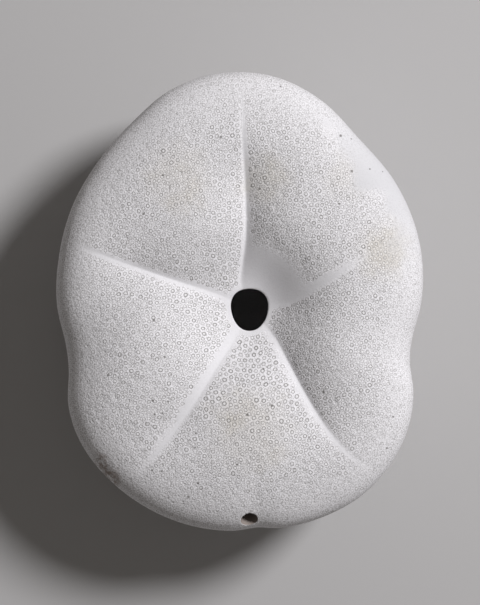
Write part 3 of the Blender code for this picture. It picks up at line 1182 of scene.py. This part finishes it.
class BiscuitSizes(bpy.types.PropertyGroup):
    """Sizes of the shell's mouth, wall and tubercles."""

    mouth_width: length_property("Mouth width", "Width of the mouth's opening", 0.0101, 0.004, 0.014)
    mouth_length: length_property("Mouth length", "Length of the mouth's opening", 0.0115, 0.004, 0.014)
    funnel_depth: length_property(
        "Funnel depth", "How deep the mouth face sinks to the mouth", 0.0140, 0.0, 0.016,
    )
    wall: length_property("Wall", "Thickness of the shell's wall", 0.0026, 0.001, 0.004)
    rim_wall: length_property("Rim wall", "Thickness of the wall at the rim", 0.0052, 0.001, 0.008)
    tubercle_spacing: length_property(
        "Tubercle spacing", "Usual distance between tubercles on the mouth face", 0.00118, 0.001, 0.003,
    )
    ring_depth: length_property(
        "Ring depth", "Depth of the sunken ring round each tubercle", 0.00016, 0.0, 0.0005, 6,
    )
    ring_radius: length_property(
        "Ring radius", "Radius of the sunken ring round each tubercle", 0.00038, 0.0001, 0.001, 6,
    )
    boss_height: length_property(
        "Boss height", "How far each tubercle stands out", 0.00012, 0.0, 0.0005, 6,
    )
    unevenness: bpy.props.FloatProperty(
        name="Unevenness", description="How much the tubercles differ in height",
        default=0.42, min=0.0, max=1.0, subtype="FACTOR",
    )


class BiscuitColours(bpy.types.PropertyGroup):
    """Colours of the shell and of the floor."""

    calcite: colour_property("Calcite", "Colour of the shell between its tubercles", (0.90, 0.893, 0.91))
    bare: colour_property("Bare calcite", "Colour of the shell without tubercles", (0.79, 0.785, 0.80))
    # The rings' dark colour is painted shade in the sunken rings round the tubercles.
    ring: colour_property("Rings", "Colour of the sunken rings", (0.22, 0.21, 0.20))
    # The bosses' light colour is a painted highlight on the tubercles' tips.
    boss: colour_property("Bosses", "Colour of the tubercles' tips", (0.95, 0.95, 0.94))
    tint: colour_property("Tint", "Colour of the faint warm patches", (0.80, 0.77, 0.715))
    # The worn rim's grey is partly its own tone and partly painted shade where the key light falls most on
    # the rim.
    polish_and_painted_shade: colour_property("Polish", "Colour of the rim where it is worn smooth", (0.69, 0.69, 0.705))
    stain: colour_property("Stain", "Colour of the brown stain near the rim", (0.20, 0.12, 0.075))
    vent: colour_property("Vent", "Colour of the vent's inside", (0.30, 0.26, 0.235))
    speck: colour_property("Specks", "Colour of the dark specks", (0.10, 0.09, 0.08))
    floor: colour_property("Floor", "Colour of the floor", (0.52, 0.515, 0.51))


# Operators


class BISCUIT_OT_build_shell(bpy.types.Operator):
    """Builds the dressed sea biscuit shell"""

    bl_idname = "biscuit.build_shell"
    bl_label = "Build Shell"

    def execute(self, context):
        settings = context.scene.biscuit_sizes
        built = ShellMesh(sizes_in_mm(settings))
        shell = add_object("sea_biscuit_shell", built.build())
        give_tubercles(shell, settings, bleached_calcite(context.scene.biscuit_colours))
        cutter = cut_vent(shell, built.move)
        data = made_plain(shell)
        bpy.data.objects.remove(cutter, do_unlink=True)
        require(len(data.polygons) > FEWEST_FACES, "the shell has no faces")
        print("sea_biscuit_shell:", len(data.polygons), "faces")
        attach(shell, "root")
        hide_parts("shell")
        return {"FINISHED"}


def aimed(place, target):
    """Rotation that turns an object at a place to look at a target, with +Y up in its view."""
    return (target - place).to_track_quat("-Z", "Y")


class BISCUIT_OT_build_stage(bpy.types.Operator):
    """Builds the floor, the lights and the camera"""

    bl_idname = "biscuit.build_stage"
    bl_label = "Build Stage"

    def execute(self, context):
        scene = context.scene
        self.build_floor(scene)
        self.build_lights(scene)
        self.build_camera(scene)
        return {"FINISHED"}

    def build_floor(self, scene):
        mesh = bmesh.new()
        bmesh.ops.create_grid(mesh, x_segments=1, y_segments=1, size=FLOOR_HALF_SIZE)
        floor = add_object("floor", mesh)
        floor.data.materials.append(pale_floor(scene.biscuit_colours.floor))

    def build_lights(self, scene):
        world = bpy.data.worlds.new("soft_room")
        world.use_nodes = True
        background = world.node_tree.nodes["Background"]
        background.inputs["Color"].default_value = WORLD_COLOUR
        background.inputs["Strength"].default_value = WORLD_STRENGTH
        scene.world = world
        scene.view_settings.view_transform = "Standard"
        around, up = math.radians(KEY_HEADING), math.radians(KEY_ELEVATION)
        toward = Vector((
            math.cos(around) * math.cos(up),
            math.sin(around) * math.cos(up),
            math.sin(up),
        ))
        key = bpy.data.lights.new("key", "AREA")
        key.shape = "DISK"
        key.size = KEY_SIZE
        key.energy = KEY_POWER
        key.color = KEY_COLOUR
        lamp = bpy.data.objects.new("key", key)
        lamp.location = LIGHT_TARGET + toward * KEY_DISTANCE
        lamp.rotation_euler = aimed(lamp.location, LIGHT_TARGET).to_euler()
        scene.collection.objects.link(lamp)

    def build_camera(self, scene):
        camera = bpy.data.cameras.new("camera")
        camera.lens = CAMERA_LENS
        camera.sensor_fit = "VERTICAL"
        camera.sensor_height = SENSOR_HEIGHT
        camera.clip_start = CAMERA_NEAREST
        viewer = bpy.data.objects.new("camera", camera)
        viewer.location = Vector(CAMERA_PLACE)
        scene.collection.objects.link(viewer)
        scene.camera = viewer


class BISCUIT_PT_sidebar(bpy.types.Panel):
    """Sizes and colours of the sea biscuit, and the buttons that build it"""

    bl_idname = "BISCUIT_PT_sidebar"
    bl_label = "Sea Biscuit"
    bl_space_type = "VIEW_3D"
    bl_region_type = "UI"
    bl_category = "Sea Biscuit"

    def draw(self, context):
        layout = self.layout
        for settings in (context.scene.biscuit_sizes, context.scene.biscuit_colours):
            column = layout.column(align=True)
            for name in settings.__annotations__:
                column.prop(settings, name)
        layout.operator(BISCUIT_OT_build_shell.bl_idname)
        layout.operator(BISCUIT_OT_build_stage.bl_idname)


CLASSES = (
    BiscuitSizes, BiscuitColours, BISCUIT_OT_build_shell, BISCUIT_OT_build_stage, BISCUIT_PT_sidebar,
)


def register():
    for cls in CLASSES:
        bpy.utils.register_class(cls)
    bpy.types.Scene.biscuit_sizes = bpy.props.PointerProperty(type=BiscuitSizes)
    bpy.types.Scene.biscuit_colours = bpy.props.PointerProperty(type=BiscuitColours)


def unregister():
    del bpy.types.Scene.biscuit_colours
    del bpy.types.Scene.biscuit_sizes
    for cls in reversed(CLASSES):
        bpy.utils.unregister_class(cls)


def main():
    register()
    bpy.ops.biscuit.build_shell()
    bpy.ops.biscuit.build_stage()


if __name__ == "__main__":
    main()
